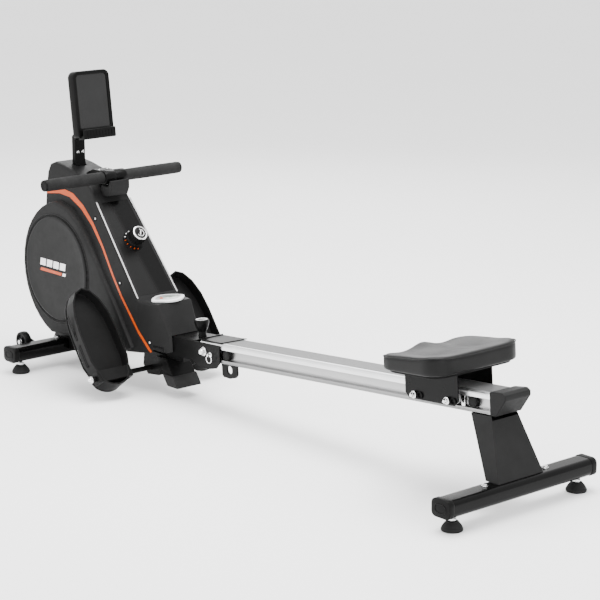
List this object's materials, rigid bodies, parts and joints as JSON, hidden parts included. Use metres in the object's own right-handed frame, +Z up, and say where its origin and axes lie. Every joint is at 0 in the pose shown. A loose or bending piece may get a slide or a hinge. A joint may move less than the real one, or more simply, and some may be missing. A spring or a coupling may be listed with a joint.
{
  "type": "folding rowing machine",
  "caption": "Folding indoor rower: covered flywheel with pull strap and bar handle, sliding saddle on a sloping channel rail, pivoting foot plates, levelling feet.",
  "frame": {"origin": "centre of the bounding box's bottom, on the floor between the four feet", "axes": "+X along the machine from the flywheel end towards the rear stand, +Y across towards the side with no pull pin, +Z up"},
  "size_m": [1.8932, 0.478, 0.8391],
  "materials": {
    "black_powder_coat": "satin black powder coat on steel",
    "zinc_steel": "bright zinc-plated steel",
    "cast_iron": "machined cast iron",
    "black_plastic": "fine-grained black moulding",
    "gloss_black_plastic": "glossy black moulding",
    "silver_plastic": "silver-painted moulding",
    "orange_plastic": "orange moulding",
    "white_nylon": "white nylon",
    "magnet_plate": "zinc-grey steel with magnets",
    "rubber": "black rubber",
    "foam": "black closed-cell foam",
    "webbing": "black woven webbing",
    "rail_aluminium": "brushed and anodised extrusion",
    "seat_foam": "black self-skinning foam with a fine grain"
  },
  "bodies": {
    "frame": {"main_frame": "black_powder_coat", "front_stabiliser": "black_powder_coat", "middle_leg": "black_powder_coat", "leg_boot": "rubber", "rear_cover": "black_plastic", "side_cover_left": "black_plastic", "side_cover_right": "black_plastic", "trim_strip_left": "orange_plastic", "trim_strip_right": "orange_plastic", "fascia_panel": "gloss_black_plastic", "flywheel_axle": "zinc_steel", "drive_belt": "rubber", "return_spring_case": "zinc_steel", "strap_mouth": "black_plastic", "handle_cradle": "black_plastic", "tablet_neck": "black_plastic", "tablet_plate": "black_plastic", "knob_skirt": "black_plastic", "tension_cable": "rubber", "monitor_frame": "silver_plastic", "monitor_lens": "gloss_black_plastic", "pedal_axle": "zinc_steel", "pivot_bolt": "zinc_steel"},
    "rail_group": {"rail": "rail_aluminium", "bumper_front": "rubber", "bumper_rear": "rubber", "rail_end_cap": "black_plastic", "rear_column": "black_plastic", "rear_stabiliser": "black_powder_coat", "stow_lug": "black_powder_coat", "hinge_cover": "black_powder_coat"},
    "seat_group": {"carriage": "black_powder_coat", "seat_base": "black_powder_coat", "seat_pad": "seat_foam"},
    "roller_fl": {"roller_front_left": "white_nylon"},
    "roller_fr": {"roller_front_right": "white_nylon"},
    "roller_rl": {"roller_rear_left": "white_nylon"},
    "roller_rr": {"roller_rear_right": "white_nylon"},
    "handle_group": {"handle_bar": "black_powder_coat", "grip_left": "foam", "grip_right": "foam", "handle_clamp": "black_plastic", "strap": "webbing"},
    "drum_group": {"strap_drum": "white_nylon"},
    "guide_group": {"guide_roller": "white_nylon"},
    "flywheel_group": {"flywheel": "cast_iron"},
    "magnet_group": {"magnet_arm": "magnet_plate"},
    "knob_group": {"tension_knob": "black_plastic"},
    "button_group": {"monitor_button": "black_plastic"},
    "pedal_l": {"pedal_left": "black_plastic"},
    "pedal_r": {"pedal_right": "black_plastic"},
    "foot_fl": {"foot_front_left": "rubber"},
    "foot_fr": {"foot_front_right": "rubber"},
    "foot_rl": {"foot_rear_left": "rubber"},
    "foot_rr": {"foot_rear_right": "rubber"},
    "wheel_l": {"transport_wheel_left": "black_plastic"},
    "wheel_r": {"transport_wheel_right": "black_plastic"},
    "pull_pin_group": {"pull_pin": "zinc_steel"},
    "pull_ring_group": {"pull_ring": "zinc_steel"},
    "lock_knob_group": {"lock_knob": "black_plastic"}
  },
  "joints": [
    {"name": "rail_fold", "type": "hinge", "parent": "frame", "child": "rail_group", "pos_m": [-0.1595, 0, 0.1595], "axis": [0, -1, 0], "range_deg": [0, 85]},
    {"name": "seat_slide", "type": "slide", "parent": "rail_group", "child": "seat_group", "axis": [-0.9966, 0, -0.0823], "range_m": [-0.029, 0.683]},
    {"name": "roller_fl_spin", "type": "hinge", "parent": "seat_group", "child": "roller_fl", "pos_m": [0.647, -0.0325, 0.22308], "axis": [0, 1, 0], "continuous": true},
    {"name": "roller_fr_spin", "type": "hinge", "parent": "seat_group", "child": "roller_fr", "pos_m": [0.647, 0.0325, 0.22308], "axis": [0, 1, 0], "continuous": true},
    {"name": "roller_rl_spin", "type": "hinge", "parent": "seat_group", "child": "roller_rl", "pos_m": [0.75464, -0.0325, 0.23197], "axis": [0, 1, 0], "continuous": true},
    {"name": "roller_rr_spin", "type": "hinge", "parent": "seat_group", "child": "roller_rr", "pos_m": [0.75464, 0.0325, 0.23197], "axis": [0, 1, 0], "continuous": true},
    {"name": "handle_pull", "type": "slide", "parent": "frame", "child": "handle_group", "axis": [1, 0, 0], "range_m": [0, 0.9], "stiffness_N_per_m": 30, "springref_m": -0.3, "deforming": ["strap"]},
    {"name": "drum_spin", "type": "hinge", "parent": "frame", "child": "drum_group", "pos_m": [-0.6815, 0, 0.47], "axis": [0, 1, 0], "continuous": true},
    {"name": "guide_spin", "type": "hinge", "parent": "frame", "child": "guide_group", "pos_m": [-0.6805, 0, 0.534], "axis": [0, 1, 0], "continuous": true},
    {"name": "flywheel_spin", "type": "hinge", "parent": "frame", "child": "flywheel_group", "pos_m": [-0.7735, 0, 0.282], "axis": [0, 1, 0], "continuous": true},
    {"name": "magnet_swing", "type": "hinge", "parent": "frame", "child": "magnet_group", "pos_m": [-0.9035, 0, 0.271], "axis": [0, 1, 0], "range_deg": [0, 8]},
    {"name": "knob_turn", "type": "hinge", "parent": "frame", "child": "knob_group", "pos_m": [-0.50607, 0, 0.40146], "axis": [0.7662, 0, 0.6426], "range_deg": [0, 270]},
    {"name": "button_press", "type": "slide", "parent": "frame", "child": "button_group", "axis": [0, 0, -1], "range_m": [0, 0.001], "stiffness_N_per_m": 300},
    {"name": "pedal_l_tilt", "type": "hinge", "parent": "frame", "child": "pedal_l", "pos_m": [-0.4065, -0.16, 0.063], "axis": [0, 1, 0], "range_deg": [0, 35]},
    {"name": "pedal_r_tilt", "type": "hinge", "parent": "frame", "child": "pedal_r", "pos_m": [-0.4065, 0.16, 0.063], "axis": [0, 1, 0], "range_deg": [0, 35]},
    {"name": "foot_fl_turn", "type": "hinge", "parent": "frame", "child": "foot_fl", "pos_m": [-0.7845, -0.203, 0.02], "axis": [0, 0, 1], "range_deg": [0, 360]},
    {"name": "foot_fr_turn", "type": "hinge", "parent": "frame", "child": "foot_fr", "pos_m": [-0.7845, 0.203, 0.02], "axis": [0, 0, 1], "range_deg": [0, 360]},
    {"name": "foot_rl_turn", "type": "hinge", "parent": "rail_group", "child": "foot_rl", "pos_m": [0.9185, -0.203, 0.02], "axis": [0, 0, 1], "range_deg": [0, 360]},
    {"name": "foot_rr_turn", "type": "hinge", "parent": "rail_group", "child": "foot_rr", "pos_m": [0.9185, 0.203, 0.02], "axis": [0, 0, 1], "range_deg": [0, 360]},
    {"name": "wheel_l_spin", "type": "hinge", "parent": "frame", "child": "wheel_l", "pos_m": [-0.8435, -0.152, 0.07], "axis": [0, 1, 0], "continuous": true},
    {"name": "wheel_r_spin", "type": "hinge", "parent": "frame", "child": "wheel_r", "pos_m": [-0.8435, 0.152, 0.07], "axis": [0, 1, 0], "continuous": true},
    {"name": "pin_pull", "type": "slide", "parent": "frame", "child": "pull_pin_group", "axis": [0, -1, 0], "range_m": [0, 0.008], "stiffness_N_per_m": 400},
    {"name": "ring_swing", "type": "hinge", "parent": "pull_pin_group", "child": "pull_ring_group", "pos_m": [-0.12708, -0.0523, 0.15696], "axis": [-0.9966, 0, -0.0823], "range_deg": [0, 60]},
    {"name": "lock_lift", "type": "slide", "parent": "frame", "child": "lock_knob_group", "axis": [-0.0823, 0, 0.9966], "range_m": [0, 0.01], "stiffness_N_per_m": 500}
  ],
  "couplings": [
    {"joint": "roller_fl_spin", "follows": "seat_slide", "rad_per_m": -75.758},
    {"joint": "roller_fr_spin", "follows": "seat_slide", "rad_per_m": -75.758},
    {"joint": "roller_rl_spin", "follows": "seat_slide", "rad_per_m": -75.758},
    {"joint": "roller_rr_spin", "follows": "seat_slide", "rad_per_m": -75.758},
    {"joint": "drum_spin", "follows": "handle_pull", "rad_per_m": 28.571},
    {"joint": "guide_spin", "follows": "handle_pull", "rad_per_m": 90.909},
    {"joint": "knob_turn", "follows": "magnet_swing", "ratio": 33.75}
  ]
}
